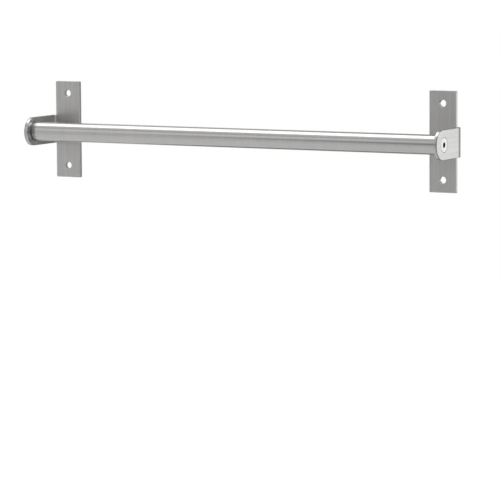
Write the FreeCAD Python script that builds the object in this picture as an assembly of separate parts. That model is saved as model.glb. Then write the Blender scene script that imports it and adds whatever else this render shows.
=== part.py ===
"""Wall-mounted kitchen utensil rail: a round tube held off the wall by two folded brackets.

Frame, in millimetres: +Z is up, +Y points into the wall and -Y out into the room, +X runs along
the rail. The origin lies on the wall plane, midway between the four wall holes.

Each bracket is one strip of sheet: a wall plate with two holes, and a tab on its outer edge that
is folded forward into a round-ended arm. The tube spans the gap between the two arms. A threaded
plug is pressed into each of its ends, and a countersunk socket screw through each arm draws the
plug's thin flange, and the tube with it, against the arm's inner face.

The right-hand half is modelled in place and mirrored to give the left-hand half.
"""

import FreeCAD
import Part
import math
import os

from FreeCAD import Vector

# Rail as a whole
RAIL_WIDTH = 530.0          # over the outer faces of the two arms
AXIS_TO_WALL = 46.5         # tube axis in front of the wall

# Bracket sheet
SHEET = 4.0                 # thickness
BEND_INSIDE = 1.5           # inside radius of the fold
PLATE_WIDTH = 32.5
PLATE_HEIGHT = 113.0
PLATE_CORNER = 1.0          # radius of the plate's four corners
ARM_HEIGHT = 33.0           # the arm's front end is a half circle of this width
ARM_PAST_AXIS = 19.5        # tube axis to the front of the arm
EDGE_BREAK = 0.4            # rounding of the sheet's cut edges

# Wall holes
WALL_HOLE = 8.0             # diameter
WALL_HOLE_SPACING = 85.0    # upper hole to lower hole
WALL_HOLE_BREAK = 0.4       # chamfer at the hole's front edge

# Tube
TUBE_OUTSIDE = 22.0         # diameter
TUBE_WALL = 1.2
TUBE_RIM = 0.4              # rounding of the tube's outer rim

# Countersunk socket screw through each arm
THREAD = 8.0                # nominal diameter
SCREW_LENGTH = 20.0         # head face to tip
HEAD_DIAMETER = 16.2        # across the head's face
HEAD_LAND = 0.3             # straight rim of the head, above its cone
CONE_ANGLE = 90.0           # full angle of the head's cone
SOCKET_FLATS = 5.0          # hexagon across flats
SOCKET_DEPTH = 3.0          # hexagon's flat-sided part
SOCKET_BREAK = 0.3          # widening of the socket at its mouth
TIP_CHAMFER = 1.0

# Plug in each end of the tube
FLANGE_DIAMETER = 20.4
FLANGE_THICKNESS = 1.5      # keeps the tube's rim this far off the arm
PLUG_LENGTH = 20.0          # flange included
PLUG_LEAD = 1.0             # chamfer at the plug's inner end

# Clearances
HEAD_RIM_GAP = 0.4          # head to the countersink's mouth, on the radius
SEAT_GAP = 0.05             # head's cone to its seat, on the radius
THREAD_GAP = 0.05           # screw to the tapped hole, on the radius
PLUG_GAP = 0.05             # plug to the tube's bore, on the radius

# Places that follow from the sizes above
arm_outer_x = RAIL_WIDTH / 2
arm_inner_x = arm_outer_x - SHEET
plate_outer_x = arm_inner_x - BEND_INSIDE
plate_inner_x = plate_outer_x - PLATE_WIDTH
plate_middle_x = (plate_outer_x + plate_inner_x) / 2
fold_outside = SHEET + BEND_INSIDE
arm_front_y = -(AXIS_TO_WALL + ARM_PAST_AXIS)
arm_round = ARM_HEIGHT / 2
arm_round_y = arm_front_y + arm_round
tube_end_x = arm_inner_x - FLANGE_THICKNESS
tube_radius = TUBE_OUTSIDE / 2
tube_bore = tube_radius - TUBE_WALL
plug_radius = tube_bore - PLUG_GAP
plug_inner_x = arm_inner_x - PLUG_LENGTH
thread_radius = THREAD / 2
tap_radius = thread_radius + THREAD_GAP
head_radius = HEAD_DIAMETER / 2
mouth_radius = head_radius + HEAD_RIM_GAP

# Cones widen by cone_slope for each unit towards the arm's outer face
cone_slope = math.tan(math.radians(CONE_ANGLE / 2))
head_face_x = arm_outer_x + HEAD_LAND - (HEAD_RIM_GAP - SEAT_GAP) / cone_slope
head_cone_x = head_face_x - HEAD_LAND
shank_x = head_cone_x - (head_radius - thread_radius) / cone_slope
screw_tip_x = head_face_x - SCREW_LENGTH
seat_end_x = arm_outer_x - (mouth_radius - tap_radius) / cone_slope
seat_inner_radius = mouth_radius - SHEET * cone_slope

ALONG = Vector(1, 0, 0)
INTO_WALL = Vector(0, 1, 0)
UP = Vector(0, 0, 1)
AXIS_POINT = Vector(0, -AXIS_TO_WALL, 0)
MIRROR_PLANE = (Vector(0, 0, 0), ALONG)
ALIGNED = 0.999             # cosine above which two directions count as one
MARGIN = 1.0                # how far a cutter runs past the face that it opens


def ring_face(points, arcs=None):
    """Face inside a ring of points; arcs maps a point's number to a place on the arc that leaves it."""
    arcs = arcs or {}
    edges = []
    for number, start in enumerate(points):
        end = points[(number + 1) % len(points)]
        if number in arcs:
            edges.append(Part.Arc(start, arcs[number], end).toShape())
        else:
            edges.append(Part.LineSegment(start, end).toShape())
    return Part.Face(Part.Wire(edges))


def turned(profile):
    """Solid of revolution about the tube's axis, from (place along X, radius) pairs."""
    points = [AXIS_POINT + ALONG * x + UP * radius for x, radius in profile]
    return ring_face(points).revolve(AXIS_POINT, ALONG, 360)


def folded_strip():
    """The sheet seen from above, from the plate's middle round the fold to the arm's front, as a prism."""
    fold_y = -fold_outside
    fold_centre = Vector(plate_outer_x, fold_y, 0)
    diagonal = (ALONG + INTO_WALL) * math.sqrt(0.5)
    section = ring_face(
        [
            Vector(plate_middle_x, 0, 0),
            Vector(plate_outer_x, 0, 0),
            Vector(arm_outer_x, fold_y, 0),
            Vector(arm_outer_x, arm_front_y, 0),
            Vector(arm_inner_x, arm_front_y, 0),
            Vector(arm_inner_x, fold_y, 0),
            Vector(plate_outer_x, -SHEET, 0),
            Vector(plate_middle_x, -SHEET, 0),
        ],
        {
            1: fold_centre + diagonal * fold_outside,
            5: fold_centre + diagonal * BEND_INSIDE,
        },
    )
    section.translate(UP * -arm_round)
    return section.extrude(UP * ARM_HEIGHT)


def arm_outline():
    """The arm seen from the side, a bar with a half-round front end, as a prism across the rail."""
    outline = ring_face(
        [
            Vector(0, 0, arm_round),
            Vector(0, arm_round_y, arm_round),
            Vector(0, arm_round_y, -arm_round),
            Vector(0, 0, -arm_round),
        ],
        {1: Vector(0, arm_front_y, 0)},
    )
    return outline.extrude(ALONG * RAIL_WIDTH)


def wall_plate():
    """The upright plate with its corners rounded."""
    corner = Vector(plate_inner_x, -SHEET, -PLATE_HEIGHT / 2)
    plate = Part.makeBox(PLATE_WIDTH, SHEET, PLATE_HEIGHT, corner)
    upright = [edge for edge in plate.Edges if abs(edge.tangentAt(0).y) > ALIGNED]
    return plate.makeFillet(PLATE_CORNER, upright)


def rounded(sheet_piece):
    """The piece with the rims of its cut edges rounded, on both broad faces."""
    rims = []
    for edge in sheet_piece.Edges:
        faces = sheet_piece.ancestorsOfType(edge, Part.Face)
        middle = edge.valueAt((edge.FirstParameter + edge.LastParameter) / 2)
        normals = [face.normalAt(*face.Surface.parameter(middle)) for face in faces]
        smooth = abs(normals[0].dot(normals[1])) > ALIGNED
        straight = edge.Curve.TypeId == "Part::GeomLine"
        through_sheet = straight and abs(edge.Length - SHEET) < EDGE_BREAK
        if not smooth and not through_sheet:
            rims.append(edge)
    return sheet_piece.makeFillet(EDGE_BREAK, rims)


def bracket():
    """Right-hand bracket: plate and folded arm as one sheet, two wall holes, one countersunk hole."""
    arm = folded_strip().common(arm_outline()).Solids[0]
    body = rounded(wall_plate()).fuse(rounded(arm)).removeSplitter().Solids[0]

    radius = WALL_HOLE / 2
    for side in (1, -1):
        centre = Vector(plate_middle_x, 0, side * WALL_HOLE_SPACING / 2)
        hole = Part.makeCylinder(radius, SHEET, centre, -INTO_WALL)
        break_height = WALL_HOLE_BREAK + MARGIN
        break_base = centre - INTO_WALL * (SHEET - WALL_HOLE_BREAK)
        wide = radius + break_height
        edge_break = Part.makeCone(radius, wide, break_height, break_base, -INTO_WALL)
        body = body.cut(hole).cut(edge_break)

    countersink = turned(
        [
            (arm_inner_x - MARGIN, 0),
            (arm_inner_x - MARGIN, seat_inner_radius - MARGIN * cone_slope),
            (arm_outer_x + MARGIN, mouth_radius + MARGIN * cone_slope),
            (arm_outer_x + MARGIN, 0),
        ]
    )
    return body.cut(countersink).Solids[0]


def rail_tube():
    """The tube, open at both ends, with its outer rims rounded."""
    start = AXIS_POINT - ALONG * tube_end_x
    outside = Part.makeCylinder(tube_radius, 2 * tube_end_x, start, ALONG)
    rims = [edge for edge in outside.Edges if edge.Curve.TypeId == "Part::GeomCircle"]
    outside = outside.makeFillet(TUBE_RIM, rims)
    bore = Part.makeCylinder(tube_bore, 2 * tube_end_x, start, ALONG)
    return outside.cut(bore).Solids[0]


def end_plug():
    """Right-hand plug: a flange against the arm, a barrel in the tube, a tapped hole through both."""
    return turned(
        [
            (arm_inner_x, seat_inner_radius),
            (arm_inner_x, FLANGE_DIAMETER / 2),
            (tube_end_x, FLANGE_DIAMETER / 2),
            (tube_end_x, plug_radius),
            (plug_inner_x + PLUG_LEAD, plug_radius),
            (plug_inner_x, plug_radius - PLUG_LEAD),
            (plug_inner_x, tap_radius),
            (seat_end_x, tap_radius),
        ]
    )


def end_screw():
    """Right-hand screw, its plain shank standing for the thread, with a hexagon socket."""
    body = turned(
        [
            (head_face_x, 0),
            (head_face_x, head_radius),
            (head_cone_x, head_radius),
            (shank_x, thread_radius),
            (screw_tip_x + TIP_CHAMFER, thread_radius),
            (screw_tip_x, thread_radius - TIP_CHAMFER),
            (screw_tip_x, 0),
        ]
    )
    flat = SOCKET_FLATS / 2
    corner = SOCKET_FLATS / math.sqrt(3)
    face_centre = AXIS_POINT + ALONG * head_face_x
    corners = []
    for number in range(6):
        angle = math.radians(60 * number)
        across = INTO_WALL * (corner * math.cos(angle))
        upward = UP * (corner * math.sin(angle))
        corners.append(face_centre + across + upward)
    hexagon = ring_face(corners).extrude(ALONG * -SOCKET_DEPTH)
    mouth = corner + SOCKET_BREAK
    funnel = Part.makeCone(mouth, flat, mouth - flat, face_centre, -ALONG)
    floor_centre = face_centre - ALONG * SOCKET_DEPTH
    floor_point = Part.makeCone(flat, 0, flat / cone_slope, floor_centre, -ALONG)
    return body.cut(hexagon).cut(funnel).cut(floor_point).Solids[0]


right_half = {
    "bracket": bracket(),
    "end_plug": end_plug(),
    "end_screw": end_screw(),
}

nodes = {"rail_tube": rail_tube()}
for name, shape in right_half.items():
    nodes["right_" + name] = shape
    nodes["left_" + name] = shape.mirror(*MIRROR_PLANE)

os.makedirs("parts", exist_ok=True)
for name, shape in nodes.items():
    shape.exportStep("parts/" + name + ".step")
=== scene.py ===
"""Looks for a wall-mounted kitchen utensil rail: brushed brackets, satin tube, threaded screws."""

import math

import bpy
from mathutils import Matrix, Vector


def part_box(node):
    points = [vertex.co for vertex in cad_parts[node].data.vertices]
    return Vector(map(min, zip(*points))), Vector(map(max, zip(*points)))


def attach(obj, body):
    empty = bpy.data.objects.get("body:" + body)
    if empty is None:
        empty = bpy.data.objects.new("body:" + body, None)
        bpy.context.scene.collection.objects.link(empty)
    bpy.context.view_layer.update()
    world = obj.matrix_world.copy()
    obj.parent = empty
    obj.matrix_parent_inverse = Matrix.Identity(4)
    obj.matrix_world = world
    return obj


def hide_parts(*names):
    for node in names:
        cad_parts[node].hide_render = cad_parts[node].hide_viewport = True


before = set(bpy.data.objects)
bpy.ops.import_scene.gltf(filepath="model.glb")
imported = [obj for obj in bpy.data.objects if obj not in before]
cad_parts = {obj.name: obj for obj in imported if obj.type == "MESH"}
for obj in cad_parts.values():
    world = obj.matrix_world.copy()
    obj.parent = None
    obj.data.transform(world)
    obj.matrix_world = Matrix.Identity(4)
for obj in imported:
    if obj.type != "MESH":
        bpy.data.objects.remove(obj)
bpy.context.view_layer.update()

bl_info = {
    "name": "Utensil rail",
    "version": (1, 0, 0),
    "blender": (4, 5, 0),
    "location": "View3D > Sidebar > Utensil rail",
    "description": "Finishes a kitchen utensil rail, makes its threaded screws and lights it",
    "category": "Object",
}

MM = 0.001

# Places read from the frame, in metres
TUBE_LOW, TUBE_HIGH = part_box("rail_tube")
PLUG_LOW, PLUG_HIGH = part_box("right_end_plug")
SCREW_LOW, SCREW_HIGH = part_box("right_end_screw")
BRACKET_LOW, BRACKET_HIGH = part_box("right_bracket")
AXIS_Y = (TUBE_LOW[1] + TUBE_HIGH[1]) / 2
ARM_INNER_X = PLUG_HIGH[0]
ARM_OUTER_X = BRACKET_HIGH[0]
HEAD_RADIUS = (SCREW_HIGH[2] - SCREW_LOW[2]) / 2
HEAD_FACE_X = SCREW_HIGH[0]
SCREW_LENGTH = SCREW_HIGH[0] - SCREW_LOW[0]

# Where the plates' grain turns into the arms', outwards from an arm's inner face
ARM_GRAIN_FADE = (-0.4 * MM, 0.1 * MM)

# Share of a band's half width over which the band keeps its full strength
BAND_CORE = 0.4

# Painted shade on the fold, the arms' cut edges, the head grooves and the sockets, as shares of the steel's
# colour
FOLD_SHADE = 0.40
RIM_SHADE = 0.55
GROOVE_SHADE = 0.10
SOCKET_SHADE = 0.04

# Where those shades fade: depths run inwards from an arm's outer face or a head's face
FOLD_Y = -6.3 * MM
FOLD_HALF = 3.8 * MM
FOLD_DEPTHS = (1.5 * MM, 2.5 * MM)
RIM_DEPTHS = (0.9 * MM, 1.7 * MM)
FACE_DEPTHS = (0.02 * MM, 0.07 * MM)
SOCKET_DEPTHS = (0.02 * MM, 0.25 * MM)
GROOVE_ROUND_HEAD = (0.35 * MM, 0.5 * MM)
GROOVE_INSIDE_HEAD = (0.1 * MM, 0.25 * MM)

# How fine the grain is, per metre: across its lines and along them
SHEET_SCRATCHES = (2600.0, 26.0)
SHEET_STREAKS = (420.0, 7.0)

# The same by X, Y and Z, and across the rings of the turned pieces
SHEET_CLOUDS = (30.0, 30.0, 30.0)
TUBE_SCRATCHES = (2200.0, 40.0, 40.0)
TUBE_STREAKS = (90.0, 12.0, 12.0)
TURNED_CLOUDS = (60.0, 60.0, 60.0)
PLUG_TURNING = 4200.0
SCREW_TURNING = 3600.0

# Layers of finer noise in the grain, and how strong each is beside the one before
SCRATCH_DETAIL = 3.0
STREAK_DETAIL = 2.0
NOISE_ROUGHNESS = 0.6

# What the grain does to a steel's colour, gloss and surface
SHEET_STREAK_STRENGTH = 0.27
CLOUD_STRENGTH = 0.10
SCRATCH_TONE = 0.34
TONE_RANGE = 0.25
DARK_TINT = 0.78
LIGHT_TINT = 1.22
SCRATCH_GLOSS = 0.16
SCRATCH_DEPTH = 0.02 * MM
SHEET_BUMP = 0.35
TUBE_BUMP = 0.12
PLUG_BUMP = 0.4
SCREW_BUMP = 0.2

# Screw mesh
SCREW_SEGMENTS = 72
RINGS_PER_TURN = 12
SOCKET_RINGS = 4
HEAD_EDGE = 0.1 * MM
SOCKET_BREAK = 0.3 * MM
PLAIN_SHANK = 0.6 * MM
CREST_SHARE = 0.125
ROOT_SHARE = 0.75
MERGE_DISTANCE = 0.001 * MM
CRISP_ANGLE = math.radians(32)

# The camera of the photograph, fitted to it with the rail in this frame
CAMERA_PLACE = (1.6912, -3.1109, 0.2588)
CAMERA_YAW = math.radians(28.56)
CAMERA_PITCH = math.radians(6.292)
CAMERA_ROLL = math.radians(0.341)
SENSOR_WIDTH = 36.0
IMAGE_WIDTH_PX = 500
FOCAL_LENGTH_PX = 3102.94

# Floor and grey screens of the studio
FLOOR_SIDE = 2.5
FLOOR_FRONT = -7.0
FLOOR_BACK = 2.0
FLOOR_FADE = (0.4, 2.2)
SCREEN_FOOT = -1.5
LEFT_SCREEN_FRONT = -24.0
LEFT_SCREEN_FADE = (-1.5, 1.5)
LEFT_SCREEN_FAR = (-7.4, -4.8)
LEFT_SCREEN_FAR_SHARE = 0.15
BACK_SCREEN_END = 0.93
BACK_SCREEN_FADE = (-1.25, -0.65)
RIGHT_SCREEN_BACK = -1.5
LOW_SCREEN_LIFT = 0.01
LOW_SCREEN_FRONT = 0.14
LOW_SCREEN_FADE = (-0.25, -0.12)
TUBE_MIRROR_SLOPE = 0.6
FRONT_LOW_SIDES = (0.6, 3.0)
FRONT_LOW_DEPTHS = (-7.0, -0.35)
NEAR_SCREEN_Y = 0.6
NEAR_SCREEN_SIDES = (-0.02, 0.38)
NEAR_SCREEN_HEIGHTS = (-0.4, 0.4)

# Bands on the left screen, which the tube mirrors as lines along it: rise in degrees, half width,
# change of brightness, and the distances in front of the rail over which each comes and goes
BANDS = (
    (7.0, 9.0, -0.42, (4.0, 4.8), (4.8, 6.8)),
    (30.0, 13.0, 0.24, (-0.3, 0.5), (19.0, 21.0)),
    (47.0, 10.0, -0.18, (-0.3, 0.5), (19.0, 21.0)),
)

# Soft lamps
SIDE_LAMP_PLACE = (1.75, 1.95, -0.1)
SIDE_LAMP_SIZE = 1.5
OVERHEAD_PLACE = (-0.8, 0.19, 1.5)
OVERHEAD_LENGTH = 3.2


class Value:
    """A node's output socket that can be used in Python sums; each sum adds a Math node to its tree."""

    def __init__(self, tree, socket):
        self.tree = tree
        self.socket = socket

    def maths(self, operation, *values):
        return self.tree.add("ShaderNodeMath", {"operation": operation}, dict(enumerate(values)))

    def __add__(self, other):
        return self.maths("ADD", self, other)

    def __radd__(self, other):
        return self.maths("ADD", other, self)

    def __sub__(self, other):
        return self.maths("SUBTRACT", self, other)

    def __rsub__(self, other):
        return self.maths("SUBTRACT", other, self)

    def __mul__(self, other):
        return self.maths("MULTIPLY", self, other)

    def __rmul__(self, other):
        return self.maths("MULTIPLY", other, self)

    def __truediv__(self, other):
        return self.maths("DIVIDE", self, other)

    def __rtruediv__(self, other):
        return self.maths("DIVIDE", other, self)

    def __mod__(self, other):
        return self.maths("FLOORED_MODULO", self, other)

    def __rmod__(self, other):
        return self.maths("FLOORED_MODULO", other, self)

    def __abs__(self):
        return self.maths("ABSOLUTE", self)

    def largest(self, other):
        return self.maths("MAXIMUM", self, other)

    def smallest(self, other):
        return self.maths("MINIMUM", self, other)


class Tree:
    """A node tree, for a material or for a shape, that is written as calls."""

    def __init__(self, nodes_of):
        self.tree = nodes_of
        self.tree.nodes.clear()

    def add(self, kind, settings=None, inputs=None, output=0):
        """Adds one node: settings first, then values or links into its sockets; returns one output."""
        node = self.tree.nodes.new(kind)
        for name, setting in (settings or {}).items():
            setattr(node, name, setting)
        for name, value in (inputs or {}).items():
            self.feed(node.inputs[name], value)
        return Value(self, node.outputs[output]) if len(node.outputs) else node

    def feed(self, socket, value):
        if isinstance(value, Value):
            self.tree.links.new(value.socket, socket)
        else:
            socket.default_value = value

    def outputs_of(self, value):
        """The outputs of a value's node, by name."""
        return {socket.name: Value(self, socket) for socket in value.socket.node.outputs}

    def sides(self, place):
        """The X, Y and Z of a place."""
        return self.outputs_of(self.add("ShaderNodeSeparateXYZ", {}, {"Vector": place}))

    def remap(self, value, low, high, to_low, to_high, smooth=True):
        kind = "SMOOTHSTEP" if smooth else "LINEAR"
        inputs = {"Value": value, "From Min": low, "From Max": high, "To Min": to_low, "To Max": to_high}
        return self.add("ShaderNodeMapRange", {"interpolation_type": kind}, inputs)

    def band(self, value, centre, half):
        """1 at the centre, falling smoothly to 0 at half the band's width to either side."""
        return self.remap(abs(value - centre), half * BAND_CORE, half, 1.0, 0.0)

    def blend(self, factor, first, second):
        """Colour mix; the sockets are told apart by number because a Mix node names them alike."""
        settings = {"data_type": "RGBA", "clamp_factor": True}
        return self.add("ShaderNodeMix", settings, {0: factor, 6: first, 7: second}, output=2)


class Shaper(Tree):
    """A geometry tree with a named input for each size."""

    def __init__(self, name, kinds):
        group = bpy.data.node_groups.new(name, "GeometryNodeTree")
        super().__init__(group)
        group.interface.new_socket(name="Geometry", in_out="OUTPUT", socket_type="NodeSocketGeometry")
        group.interface.new_socket(name="Geometry", in_out="INPUT", socket_type="NodeSocketGeometry")
        self.identifiers = {}
        for title, kind in kinds.items():
            socket = group.interface.new_socket(name=title, in_out="INPUT", socket_type="NodeSocket" + kind)
            self.identifiers[title] = socket.identifier
        self.inputs = self.outputs_of(self.add("NodeGroupInput"))

    def shape(self, piece, values):
        """Runs the tree on a piece with the values named, and leaves the result as its plain mesh."""
        modifier = piece.modifiers.new(self.tree.name, "NODES")
        modifier.node_group = self.tree
        for title, value in values.items():
            modifier[self.identifiers[title]] = value
        graph = bpy.context.evaluated_depsgraph_get()
        mesh = bpy.data.meshes.new_from_object(piece.evaluated_get(graph))
        piece.modifiers.remove(modifier)
        piece.data = mesh


def new_material(name):
    """A material, its emptied tree and the place on the surface in the rail's frame."""
    material = bpy.data.materials.new(name)
    material.use_nodes = True
    shader = Tree(material.node_tree)
    place = shader.outputs_of(shader.add("ShaderNodeTexCoord"))["Object"]
    return material, shader, place


def new_stage_piece(name, corners):
    """A flat stage piece with four corners."""
    mesh = bpy.data.meshes.new(name)
    mesh.from_pydata(corners, [], [(0, 1, 2, 3)])
    piece = bpy.data.objects.new(name, mesh)
    bpy.context.scene.collection.objects.link(piece)
    return piece


def lying(sides, depths, level):
    """Corners of a level rectangle, anticlockwise from above."""
    (left, right), (front, back) = sides, depths
    return [(left, front, level), (right, front, level), (right, back, level), (left, back, level)]


def grey(level):
    return (level, level, level, 1.0)


def grain(shader, place, scale, detail=SCRATCH_DETAIL):
    """Noise from -0.5 to 0.5, drawn out into parallel scratches by an uneven scale."""
    stretched = shader.add("ShaderNodeMapping", {}, {"Vector": place, "Scale": scale})
    inputs = {"Vector": stretched, "Scale": 1.0, "Detail": detail, "Roughness": NOISE_ROUGHNESS}
    return shader.add("ShaderNodeTexNoise", {}, inputs) - 0.5


def axis_radius(sides):
    """Distance from the tube's axis."""
    forward = sides["Y"] - AXIS_Y
    square = forward * forward + sides["Z"] * sides["Z"]
    return square.maths("SQRT", square)


def metal_surface(material, shader, colour, roughness, scratches, streaks, shade, bump):
    """Steel whose colour, gloss and surface follow fine scratches and broader streaks."""
    tone = scratches * SCRATCH_TONE + streaks
    light = shader.remap(tone, -TONE_RANGE, TONE_RANGE, 0.0, 1.0, smooth=False)
    tint = shader.blend(
        light,
        tuple(part * DARK_TINT for part in colour) + (1.0,),
        tuple(min(1.0, part * LIGHT_TINT) for part in colour) + (1.0,),
    )
    # Painted shade: where shade is below 1 the colour is darkened towards black
    shaded = shader.blend(shade, grey(0.0), tint)
    gloss = roughness + scratches * SCRATCH_GLOSS
    relief = shader.add(
        "ShaderNodeBump", {}, {"Strength": bump, "Distance": SCRATCH_DEPTH, "Height": scratches}
    )
    surface = shader.add(
        "ShaderNodeBsdfPrincipled",
        {},
        {"Base Color": shaded, "Metallic": 1.0, "Roughness": gloss, "Normal": relief},
    )
    shader.add("ShaderNodeOutputMaterial", {}, {"Surface": surface})
    return material


def bracket_steel(finish):
    """Scratches run up and down the wall plates and forward along the arms.

    Painted shade darkens the fold's outer side, the arms' cut edge next to their outer face and the groove
    round the countersunk heads.
    """
    material, shader, place = new_material("brushed_bracket_steel")
    sides = shader.sides(place)
    outward = abs(sides["X"])
    on_arm = shader.remap(outward - ARM_INNER_X, *ARM_GRAIN_FADE, 0.0, 1.0)

    def both_ways(across, along, detail):
        upright = grain(shader, place, (across, across, along), detail)
        level = grain(shader, place, (across, along, across), detail)
        return upright + (level - upright) * on_arm

    scratches = both_ways(*SHEET_SCRATCHES, SCRATCH_DETAIL)
    streaks = both_ways(*SHEET_STREAKS, STREAK_DETAIL) * SHEET_STREAK_STRENGTH
    streaks = streaks + grain(shader, place, SHEET_CLOUDS, STREAK_DETAIL) * CLOUD_STRENGTH

    # Painted shade: the colour goes darker on the fold's outer side, along the cut edges next to the outer
    # faces and in the groove round each screw head
    depth = ARM_OUTER_X - outward
    outer_side = shader.remap(depth, *FOLD_DEPTHS, 1.0, 0.0)
    fold = 1.0 - outer_side * shader.band(sides["Y"], FOLD_Y, FOLD_HALF) * (1.0 - FOLD_SHADE)
    cut_edge = shader.remap(depth, *RIM_DEPTHS, RIM_SHADE, 1.0)
    outer_face = shader.remap(depth, *FACE_DEPTHS, 1.0, 0.0)
    rim = cut_edge.largest(outer_face)
    groove = shader.remap(axis_radius(sides) - HEAD_RADIUS, *GROOVE_ROUND_HEAD, GROOVE_SHADE, 1.0)
    shade = fold * rim * groove
    colour = tuple(finish.bracket_colour)
    roughness = finish.plate_roughness + on_arm * (finish.arm_roughness - finish.plate_roughness)
    return metal_surface(material, shader, colour, roughness, scratches, streaks, shade, SHEET_BUMP)


def tube_steel(finish):
    """Fine scratches run round the tube and change along it."""
    material, shader, place = new_material("satin_tube_steel")
    scratches = grain(shader, place, TUBE_SCRATCHES)
    streaks = grain(shader, place, TUBE_STREAKS, STREAK_DETAIL) * CLOUD_STRENGTH
    colour, roughness = tuple(finish.tube_colour), finish.tube_roughness
    return metal_surface(material, shader, colour, roughness, scratches, streaks, 1.0, TUBE_BUMP)


def turned_steel(name, colour, roughness, turning, bump, shade=None):
    """Turning marks are rings about the tube's axis; painted shade, if any, goes by depth and radius."""
    material, shader, place = new_material(name)
    sides = shader.sides(place)
    radius = axis_radius(sides)
    rings = shader.add("ShaderNodeCombineXYZ", {}, {"X": sides["X"], "Y": radius})
    scratches = grain(shader, rings, (turning, turning, turning))
    streaks = grain(shader, place, TURNED_CLOUDS, STREAK_DETAIL) * CLOUD_STRENGTH
    dark = shade(shader, HEAD_FACE_X - abs(sides["X"]), radius) if shade else 1.0
    return metal_surface(material, shader, tuple(colour), roughness, scratches, streaks, dark, bump)


def head_shade(mouth):
    """Painted shade inside a screw's socket, whose mouth has that radius, and down the rim of its head."""

    def shade(shader, depth, radius):
        below = shader.remap(depth, *SOCKET_DEPTHS, 0.0, 1.0)
        inside = shader.remap(radius, mouth, mouth + SOCKET_BREAK, 1.0, 0.0)
        rim = shader.remap(HEAD_RADIUS - radius, *GROOVE_INSIDE_HEAD, 1.0, 0.0)
        return 1.0 - below * (inside * (1.0 - SOCKET_SHADE) + rim * (1.0 - GROOVE_SHADE))

    return shade


def dress(nodes, material):
    """Puts one material on every slot of the CAD nodes named."""
    for name in nodes:
        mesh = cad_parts[name].data
        if not mesh.materials:
            mesh.materials.append(material)
        for number in range(len(mesh.materials)):
            mesh.materials[number] = material


def socket_corner(screws):
    """Distance from the axis to the corners of the hexagon socket."""
    return screws.socket_flats / 2 / math.cos(math.radians(30))


def shank_start(screws):
    """Depth at which the head's cone, at 45 degrees, has narrowed to the thread's crests."""
    return screws.head_land + HEAD_RADIUS - screws.thread_diameter / 2


def screw_profile(screws):
    """Rings of a screw, from its socket's floor to its tip, as (depth under the head, hexagon, radius).

    A ring is a hexagon where the second number is 1, unless its radius reaches further out.
    """
    flat = screws.socket_flats / 2
    corner = socket_corner(screws)
    mouth = corner + SOCKET_BREAK
    thread = screws.thread_diameter / 2
    shank = shank_start(screws)
    chamfer = SCREW_LENGTH - screws.tip_chamfer
    rings = [
        (screws.socket_depth + flat, 0, 0.0),
        (screws.socket_depth, 0, flat),
        (screws.socket_depth, 1, flat),
    ]
    for number in range(SOCKET_RINGS + 1):
        radius = flat + (corner - flat) * number / SOCKET_RINGS
        rings.append((mouth - radius, 1, radius))
    rings += [
        (0.0, 0, mouth),
        (0.0, 0, HEAD_RADIUS - HEAD_EDGE),
        (HEAD_EDGE, 0, HEAD_RADIUS),
        (screws.head_land, 0, HEAD_RADIUS),
        (shank, 0, thread),
    ]
    turns = (chamfer - shank) / screws.thread_pitch
    count = math.ceil(turns * RINGS_PER_TURN)
    for number in range(1, count + 1):
        rings.append((shank + (chamfer - shank) * number / count, 0, thread))
    for number in range(1, RINGS_PER_TURN + 1):
        share = number / RINGS_PER_TURN
        rings.append((chamfer + screws.tip_chamfer * share, 0, thread - screws.tip_chamfer * share))
    rings.append((SCREW_LENGTH, 0, 0.0))
    return rings


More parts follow.
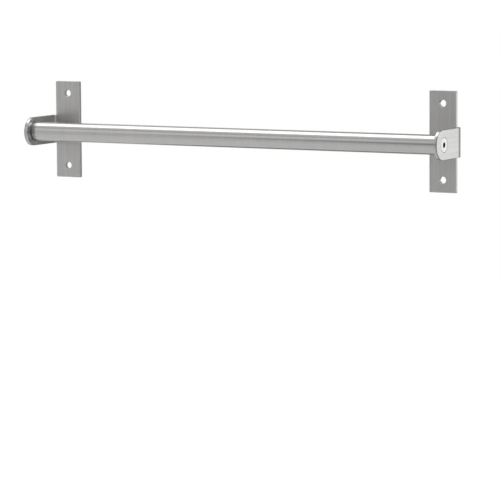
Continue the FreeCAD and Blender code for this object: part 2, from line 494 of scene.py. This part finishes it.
def screw_tree():
    """Turns a profile into a screw, cuts its helical thread and sets one at each end of the rail."""
    tree = Shaper(
        "end_screws",
        {
            "Segments": "Int",
            "Socket flats": "Float",
            "Thread diameter": "Float",
            "Thread pitch": "Float",
            "Thread depth": "Float",
            "Thread start": "Float",
            "Head place": "Vector",
            "Steel": "Material",
        },
    )
    profile, segments = tree.inputs["Geometry"], tree.inputs["Segments"]
    ring_count = tree.add(
        "GeometryNodeAttributeDomainSize", {"component": "MESH"}, {"Geometry": profile}
    )
    around = segments + 1.0
    grid = tree.add("GeometryNodeMeshGrid", {}, {"Vertices X": ring_count, "Vertices Y": around})

    index = tree.add("GeometryNodeInputIndex")
    ring_number = (index / around).maths("FLOOR", index / around)
    turn = (index % around) / segments
    here = tree.add("GeometryNodeInputPosition")
    ring = tree.add(
        "GeometryNodeSampleIndex",
        {"data_type": "FLOAT_VECTOR", "domain": "POINT"},
        {"Geometry": profile, "Value": here, "Index": ring_number},
    )
    parts = tree.sides(ring)
    depth, hexagonal, radius = parts["X"], parts["Y"], parts["Z"]

    sixth = math.radians(60)
    angle = turn * (2 * math.pi)
    to_flat = (angle % sixth) - sixth / 2
    flat = tree.inputs["Socket flats"] / (2.0 * to_flat.maths("COSINE", to_flat))
    radius = radius.largest(hexagonal * flat)

    pitch, start = tree.inputs["Thread pitch"], tree.inputs["Thread start"]
    phase = ((0.0 - depth) / pitch - turn) % 1.0
    groove = tree.remap(abs(phase * 2.0 - 1.0), CREST_SHARE, ROOT_SHARE, 0.0, 1.0, smooth=False)
    run_in = tree.remap(depth, start, start + pitch, 0.0, 1.0)
    thread = tree.inputs["Thread diameter"] / 2.0 - groove * run_in * tree.inputs["Thread depth"]
    above = depth.maths("LESS_THAN", depth, start)
    radius = radius.smallest(thread + above)

    place = tree.add(
        "ShaderNodeCombineXYZ",
        {},
        {
            "X": 0.0 - depth,
            "Y": radius * angle.maths("COSINE", angle),
            "Z": radius * angle.maths("SINE", angle),
        },
    )
    turned = tree.add("GeometryNodeSetPosition", {}, {"Geometry": grid, "Position": place})
    closed = tree.add("GeometryNodeMergeByDistance", {}, {"Geometry": turned, "Distance": MERGE_DISTANCE})
    soft = tree.add(
        "GeometryNodeSetShadeSmooth", {"domain": "FACE"}, {"Geometry": closed, "Shade Smooth": True}
    )
    bend = tree.add("GeometryNodeInputMeshEdgeAngle")
    crisp = tree.add(
        "GeometryNodeSetShadeSmooth",
        {"domain": "EDGE"},
        {
            "Geometry": soft,
            "Selection": bend.maths("GREATER_THAN", bend, CRISP_ANGLE),
            "Shade Smooth": False,
        },
    )

    head = tree.inputs["Head place"]
    other_head = tree.add("ShaderNodeVectorMath", {"operation": "MULTIPLY"}, {0: head, 1: (-1.0, 1.0, 1.0)})
    ends = tree.add(
        "GeometryNodeMeshLine",
        {"mode": "END_POINTS", "count_mode": "TOTAL"},
        {"Count": 2, "Start Location": head, "Offset": other_head},
    )
    half_turn = tree.add("ShaderNodeCombineXYZ", {}, {"Z": tree.add("GeometryNodeInputIndex") * math.pi})
    screws = tree.add(
        "GeometryNodeInstanceOnPoints", {}, {"Points": ends, "Instance": crisp, "Rotation": half_turn}
    )
    real = tree.add("GeometryNodeRealizeInstances", {}, {"Geometry": screws})
    steel = tree.add("GeometryNodeSetMaterial", {}, {"Geometry": real, "Material": tree.inputs["Steel"]})
    tree.add("NodeGroupOutput", {}, {"Geometry": steel})
    return tree


class RailFinish(bpy.types.PropertyGroup):
    """Colours and gloss of the steels"""

    bracket_colour: bpy.props.FloatVectorProperty(
        name="Bracket colour", description="Steel of the folded brackets",
        subtype="COLOR", size=3, min=0, max=1, default=(0.52, 0.516, 0.508),
    )
    plate_roughness: bpy.props.FloatProperty(
        name="Plate roughness", description="Spread of reflections in the brushed wall plates",
        subtype="FACTOR", min=0, max=1, default=0.34,
    )
    arm_roughness: bpy.props.FloatProperty(
        name="Arm roughness", description="Spread of reflections in the brushed arms",
        subtype="FACTOR", min=0, max=1, default=0.24,
    )
    tube_colour: bpy.props.FloatVectorProperty(
        name="Tube colour", description="Steel of the hanging tube",
        subtype="COLOR", size=3, min=0, max=1, default=(0.52, 0.516, 0.508),
    )
    tube_roughness: bpy.props.FloatProperty(
        name="Tube roughness", description="Spread of reflections in the satin tube",
        subtype="FACTOR", min=0, max=1, default=0.16,
    )
    screw_colour: bpy.props.FloatVectorProperty(
        name="Screw colour", description="Steel of the socket screws",
        subtype="COLOR", size=3, min=0, max=1, default=(0.62, 0.62, 0.612),
    )
    screw_roughness: bpy.props.FloatProperty(
        name="Screw roughness", description="Spread of reflections in the socket screws",
        subtype="FACTOR", min=0, max=1, default=0.22,
    )
    # Painted shade: the plugs are kept darker than the other steel, so that their flange between each tube
    # end and arm shows as a dark shade line
    plug_colour: bpy.props.FloatVectorProperty(
        name="Plug colour", description="Turned steel of the plugs in the tube's ends",
        subtype="COLOR", size=3, min=0, max=1, default=(0.26, 0.26, 0.257),
    )
    plug_roughness: bpy.props.FloatProperty(
        name="Plug roughness", description="Spread of reflections in the turned plugs",
        subtype="FACTOR", min=0, max=1, default=0.42,
    )


class RailScrews(bpy.types.PropertyGroup):
    """Sizes of the end screws"""

    thread_diameter: bpy.props.FloatProperty(
        name="Thread diameter", description="Over the crests of the end screws' thread",
        unit="LENGTH", min=0, precision=5, default=8.0 * MM,
    )
    thread_pitch: bpy.props.FloatProperty(
        name="Thread pitch", description="Crest to crest along the end screws",
        unit="LENGTH", min=0, precision=5, default=1.25 * MM,
    )
    thread_depth: bpy.props.FloatProperty(
        name="Thread depth", description="Crest to root of the end screws' thread",
        unit="LENGTH", min=0, precision=5, default=0.75 * MM,
    )
    head_land: bpy.props.FloatProperty(
        name="Head land", description="Straight rim of the countersunk head",
        unit="LENGTH", min=0, precision=5, default=0.3 * MM,
    )
    socket_flats: bpy.props.FloatProperty(
        name="Socket flats", description="Hexagon socket across its flats",
        unit="LENGTH", min=0, precision=5, default=5.0 * MM,
    )
    socket_depth: bpy.props.FloatProperty(
        name="Socket depth", description="Flat-sided part of the hexagon socket",
        unit="LENGTH", min=0, precision=5, default=3.0 * MM,
    )
    tip_chamfer: bpy.props.FloatProperty(
        name="Tip chamfer", description="Chamfer at the end screws' tips",
        unit="LENGTH", min=0, precision=5, default=1.0 * MM,
    )


class RailStage(bpy.types.PropertyGroup):
    """Floor, lamps and grey screens of the studio"""

    floor_drop: bpy.props.FloatProperty(
        name="Floor drop", description="Height of the rail's middle over the floor",
        unit="LENGTH", min=0.1, default=0.42,
    )
    floor_colour: bpy.props.FloatVectorProperty(
        name="Floor colour", description="Pale floor under the rail",
        subtype="COLOR", size=3, min=0, max=1, default=(0.80, 0.80, 0.80),
    )
    floor_lift: bpy.props.FloatProperty(
        name="Floor lift", description="White added to the floor where the camera sees it",
        min=0, default=0.36,
    )
    floor_shine: bpy.props.FloatProperty(
        name="Floor shine", description="White added to the floor in front where the metal mirrors it",
        min=0, default=0.13,
    )
    room_light: bpy.props.FloatProperty(
        name="Room light", description="Even light from all round",
        min=0, default=0.5,
    )
    overhead_level: bpy.props.FloatProperty(
        name="Overhead level", description="Brightness of the soft lamp's face over the rail",
        min=0, default=1.8,
    )
    overhead_depth: bpy.props.FloatProperty(
        name="Overhead depth", description="Front to back size of the soft lamp over the rail",
        unit="LENGTH", min=0.1, default=1.2,
    )
    side_level: bpy.props.FloatProperty(
        name="Side level", description="Brightness of the soft lamp's face behind and to the right",
        min=0, default=0.56,
    )
    screen_distance: bpy.props.FloatProperty(
        name="Screen distance", description="Left and right grey screens to the rail's middle",
        unit="LENGTH", min=0.5, default=2.5,
    )
    back_distance: bpy.props.FloatProperty(
        name="Back distance", description="Back grey screen to the rail's wall plane",
        unit="LENGTH", min=0.5, default=1.7,
    )
    screen_height: bpy.props.FloatProperty(
        name="Screen height", description="Top of the grey screens over the rail's middle",
        unit="LENGTH", min=0.5, default=6.0,
    )
    screen_front: bpy.props.FloatProperty(
        name="Screen front", description="Brightness of the left screen in front of the rail",
        min=0, default=0.745,
    )
    screen_right: bpy.props.FloatProperty(
        name="Screen right", description="Brightness of the right screen in front of the rail",
        min=0, default=0.55,
    )
    screen_back: bpy.props.FloatProperty(
        name="Screen back", description="Brightness of the screens behind the rail",
        min=0, default=0.33,
    )
    screen_back_left: bpy.props.FloatProperty(
        name="Screen back left", description="Brightness of the back screen's left end",
        min=0, default=0.62,
    )
    screen_low_left: bpy.props.FloatProperty(
        name="Screen low left", description="Brightness of the low screen for the tube's left end",
        min=0, default=0.60,
    )
    screen_front_low: bpy.props.FloatProperty(
        name="Screen front low", description="Brightness of the low screen in front, on the right",
        min=0, default=0.20,
    )
    screen_near: bpy.props.FloatProperty(
        name="Screen near", description="Brightness of the small screen that the left arm mirrors",
        min=0, default=0.26,
    )


class RAIL_OT_brackets(bpy.types.Operator):
    """Give both folded brackets their brushed steel"""

    bl_idname = "rail.brackets"
    bl_label = "Finish brackets"

    def execute(self, context):
        dress(("left_bracket", "right_bracket"), bracket_steel(context.scene.rail_finish))
        return {"FINISHED"}


class RAIL_OT_tube(bpy.types.Operator):
    """Give the hanging tube its satin steel"""

    bl_idname = "rail.tube"
    bl_label = "Finish tube"

    def execute(self, context):
        dress(("rail_tube",), tube_steel(context.scene.rail_finish))
        return {"FINISHED"}


class RAIL_OT_plugs(bpy.types.Operator):
    """Give the plugs in the tube's ends their turned steel"""

    bl_idname = "rail.plugs"
    bl_label = "Finish plugs"

    def execute(self, context):
        finish = context.scene.rail_finish
        # Painted shade: the plugs' dark colour stands for the shaded gap between tube ends and arms
        steel = turned_steel(
            "turned_plug_steel", finish.plug_colour, finish.plug_roughness, PLUG_TURNING, PLUG_BUMP
        )
        dress(("left_end_plug", "right_end_plug"), steel)
        return {"FINISHED"}


class RAIL_OT_screws(bpy.types.Operator):
    """Make the socket screws with their thread in place of the plain ones"""

    bl_idname = "rail.screws"
    bl_label = "Make screws"

    def execute(self, context):
        screws, finish = context.scene.rail_screws, context.scene.rail_finish
        shade = head_shade(socket_corner(screws) + SOCKET_BREAK)
        steel = turned_steel(
            "bright_screw_steel", finish.screw_colour, finish.screw_roughness,
            SCREW_TURNING, SCREW_BUMP, shade,
        )
        mesh = bpy.data.meshes.new("screw_profile")
        mesh.from_pydata(screw_profile(screws), [], [])
        mesh.materials.append(steel)
        piece = bpy.data.objects.new("end_screws", mesh)
        context.scene.collection.objects.link(piece)
        screw_tree().shape(
            piece,
            {
                "Segments": SCREW_SEGMENTS,
                "Socket flats": screws.socket_flats,
                "Thread diameter": screws.thread_diameter,
                "Thread pitch": screws.thread_pitch,
                "Thread depth": screws.thread_depth,
                "Thread start": shank_start(screws) + PLAIN_SHANK,
                "Head place": (HEAD_FACE_X, AXIS_Y, 0.0),
                "Steel": steel,
            },
        )
        if not piece.data.polygons:
            raise RuntimeError("the screw tree made no faces")
        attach(piece, "root")
        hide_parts("left_end_screw", "right_end_screw")
        return {"FINISHED"}


class RAIL_OT_stage(bpy.types.Operator):
    """Make the floor, the studio, the lamps and the photograph's camera"""

    bl_idname = "rail.stage"
    bl_label = "Make stage"

    def execute(self, context):
        stage = context.scene.rail_stage
        make_floor(stage)
        make_studio(context.scene, stage)
        make_screens(stage)
        make_lamps(stage)
        make_camera(context.scene)
        context.scene.view_settings.view_transform = "Standard"
        return {"FINISHED"}


class RAIL_PT_sidebar(bpy.types.Panel):
    """The rail's settings and the steps that make it"""

    bl_idname = "RAIL_PT_sidebar"
    bl_label = "Utensil rail"
    bl_space_type = "VIEW_3D"
    bl_region_type = "UI"
    bl_category = "Utensil rail"

    def draw(self, context):
        scene = context.scene
        for settings in (scene.rail_finish, scene.rail_screws, scene.rail_stage):
            for name in settings.bl_rna.properties.keys():
                if name not in ("rna_type", "name"):
                    self.layout.prop(settings, name)
        for operator in OPERATORS:
            self.layout.operator(operator.bl_idname)


def background_rays(shader):
    """1 for rays from the camera, off a glossy surface or through glass, which see the background."""
    rays = shader.outputs_of(shader.add("ShaderNodeLightPath"))
    return rays["Is Camera Ray"].largest(rays["Is Glossy Ray"]).largest(rays["Is Transmission Ray"])


def make_floor(stage):
    """Pale floor that ends behind the rail, so that the camera sees the white backdrop round the rail."""
    corners = lying((-FLOOR_SIDE, FLOOR_SIDE), (FLOOR_FRONT, FLOOR_BACK), -stage.floor_drop)
    floor = new_stage_piece("floor", corners)
    material, shader, place = new_material("pale_floor")
    rays = shader.outputs_of(shader.add("ShaderNodeLightPath"))
    paint = shader.add("ShaderNodeBsdfDiffuse", {}, {"Color": tuple(stage.floor_colour) + (1.0,)})
    outward = shader.add("ShaderNodeVectorMath", {"operation": "LENGTH"}, {0: place}, output=1)
    lift = rays["Is Camera Ray"] * shader.remap(outward, *FLOOR_FADE, stage.floor_lift, 1.0)
    shine = rays["Is Glossy Ray"] * stage.floor_shine
    glow = shader.add("ShaderNodeEmission", {}, {"Color": lift + shine, "Strength": 1.0})
    both = shader.add("ShaderNodeAddShader", {}, {0: paint, 1: glow})
    shader.add("ShaderNodeOutputMaterial", {}, {"Surface": both})
    floor.data.materials.append(material)


def make_studio(scene, stage):
    """White backdrop for the camera, for the metal and for glass, over a softer even light."""
    world = bpy.data.worlds.new("studio")
    world.use_nodes = True
    scene.world = world
    shader = Tree(world.node_tree)
    level = shader.remap(background_rays(shader), 0.0, 1.0, stage.room_light, 1.0, smooth=False)
    sky = shader.add("ShaderNodeBackground", {}, {"Color": grey(1.0), "Strength": level})
    shader.add("ShaderNodeOutputWorld", {}, {"Surface": sky})


def make_screen(name, corners, level):
    """Grey screen of the studio, which the camera doesn't see and the metal mirrors.

    level gives the screen's brightness, as a number or as a function of its tree and a place's sides.
    """
    screen = new_stage_piece(name, corners)
    screen.visible_camera = False
    screen.visible_shadow = False
    material, shader, place = new_material(name + "_grey")
    colour = level(shader, shader.sides(place)) if callable(level) else grey(level)
    glow = shader.add("ShaderNodeEmission", {}, {"Color": colour, "Strength": 1.0})
    shader.add("ShaderNodeOutputMaterial", {}, {"Surface": glow})
    screen.data.materials.append(material)
    return screen


def make_screens(stage):
    """Tall screens on the left, behind and on the right, two low ones and a small one behind the rail."""
    side, back = stage.screen_distance, stage.back_distance
    low_height = LOW_SCREEN_LIFT - stage.floor_drop

    def upright(start, end, heights=(SCREEN_FOOT, stage.screen_height)):
        foot, top = heights
        return [start + (foot,), end + (foot,), end + (top,), start + (top,)]

    def left_level(shader, sides):
        base = shader.remap(sides["Y"], *LEFT_SCREEN_FADE, stage.screen_front, stage.screen_back)
        far = shader.remap(sides["Y"], *LEFT_SCREEN_FAR, LEFT_SCREEN_FAR_SHARE, 1.0)
        forward = 0.0 - sides["Y"]
        rise = forward.maths("ARCTAN2", sides["Z"], forward)
        change = 1.0
        for centre, half, amount, comes, goes in BANDS:
            across = shader.band(rise, math.radians(centre), math.radians(half))
            along = shader.remap(forward, *comes, 0.0, amount) * shader.remap(forward, *goes, 1.0, 0.0)
            change = change + across * along
        return base * far * change

    def back_level(shader, sides):
        levels = (stage.screen_back_left, stage.screen_back)
        return shader.remap(sides["X"], *BACK_SCREEN_FADE, *levels, smooth=False)

    def low_level(shader, sides):
        mirrored_at = sides["X"] + (sides["Y"] - AXIS_Y) * TUBE_MIRROR_SLOPE
        return shader.remap(mirrored_at, *LOW_SCREEN_FADE, stage.screen_low_left, stage.screen_back)

    make_screen("left_screen", upright((-side, LEFT_SCREEN_FRONT), (-side, back)), left_level)
    make_screen("back_screen", upright((-side, back), (BACK_SCREEN_END, back)), back_level)
    make_screen("right_screen", upright((side, FLOOR_FRONT), (side, RIGHT_SCREEN_BACK)), stage.screen_right)

    # These change what the metal mirrors and don't light the floor
    corners = lying((-side, BACK_SCREEN_END), (LOW_SCREEN_FRONT, back), low_height)
    low = make_screen("low_screen", corners, low_level)
    corners = lying(FRONT_LOW_SIDES, FRONT_LOW_DEPTHS, low_height)
    front_low = make_screen("front_low_screen", corners, stage.screen_front_low)
    start, end = ((x, NEAR_SCREEN_Y) for x in NEAR_SCREEN_SIDES)
    near = make_screen("near_screen", upright(start, end, NEAR_SCREEN_HEIGHTS), stage.screen_near)
    for screen in (low, front_low, near):
        screen.visible_diffuse = False


def soft_lamp(name, place, turn, width, height, radiance):
    """Rectangular lamp, set by how bright its face looks."""
    lamp = bpy.data.lights.new(name, "AREA")
    lamp.shape = "RECTANGLE"
    lamp.size = width
    lamp.size_y = height
    lamp.energy = radiance * math.pi * width * height
    holder = bpy.data.objects.new(name, lamp)
    holder.matrix_world = Matrix.Translation(place) @ turn
    holder.visible_camera = False
    bpy.context.scene.collection.objects.link(holder)


def make_lamps(stage):
    """A wide soft lamp over the rail, and one behind it on the right that faces the right arm."""
    soft_lamp(
        "overhead_lamp", OVERHEAD_PLACE, Matrix.Identity(4),
        OVERHEAD_LENGTH, stage.overhead_depth, stage.overhead_level,
    )
    towards_arm = Vector((ARM_OUTER_X, AXIS_Y, 0.0)) - Vector(SIDE_LAMP_PLACE)
    turn = towards_arm.to_track_quat("-Z", "Y").to_matrix().to_4x4()
    soft_lamp("side_lamp", SIDE_LAMP_PLACE, turn, SIDE_LAMP_SIZE, SIDE_LAMP_SIZE, stage.side_level)


def make_camera(scene):
    """The photograph's camera, turned by its yaw and pitch and then rolled about its own view."""
    ahead = Vector(
        (
            -math.sin(CAMERA_YAW) * math.cos(CAMERA_PITCH),
            math.cos(CAMERA_YAW) * math.cos(CAMERA_PITCH),
            -math.sin(CAMERA_PITCH),
        )
    )
    level_right = Vector((math.cos(CAMERA_YAW), math.sin(CAMERA_YAW), 0.0))
    level_down = ahead.cross(level_right)
    right = math.cos(CAMERA_ROLL) * level_right + math.sin(CAMERA_ROLL) * level_down
    down = math.cos(CAMERA_ROLL) * level_down - math.sin(CAMERA_ROLL) * level_right
    lens = bpy.data.cameras.new("camera")
    lens.sensor_width = SENSOR_WIDTH
    lens.lens = FOCAL_LENGTH_PX / IMAGE_WIDTH_PX * SENSOR_WIDTH
    camera = bpy.data.objects.new("camera", lens)
    turn = Matrix((right, -down, -ahead)).transposed().to_4x4()
    camera.matrix_world = Matrix.Translation(CAMERA_PLACE) @ turn
    scene.collection.objects.link(camera)
    scene.camera = camera


OPERATORS = (RAIL_OT_brackets, RAIL_OT_tube, RAIL_OT_plugs, RAIL_OT_screws, RAIL_OT_stage)
CLASSES = (RailFinish, RailScrews, RailStage) + OPERATORS + (RAIL_PT_sidebar,)


def register():
    for item in CLASSES:
        bpy.utils.register_class(item)
    bpy.types.Scene.rail_finish = bpy.props.PointerProperty(type=RailFinish)
    bpy.types.Scene.rail_screws = bpy.props.PointerProperty(type=RailScrews)
    bpy.types.Scene.rail_stage = bpy.props.PointerProperty(type=RailStage)


def unregister():
    del bpy.types.Scene.rail_stage
    del bpy.types.Scene.rail_screws
    del bpy.types.Scene.rail_finish
    for item in reversed(CLASSES):
        bpy.utils.unregister_class(item)


def main():
    register()
    bpy.ops.rail.brackets()
    bpy.ops.rail.tube()
    bpy.ops.rail.plugs()
    bpy.ops.rail.screws()
    bpy.ops.rail.stage()


if __name__ == "__main__":
    main()
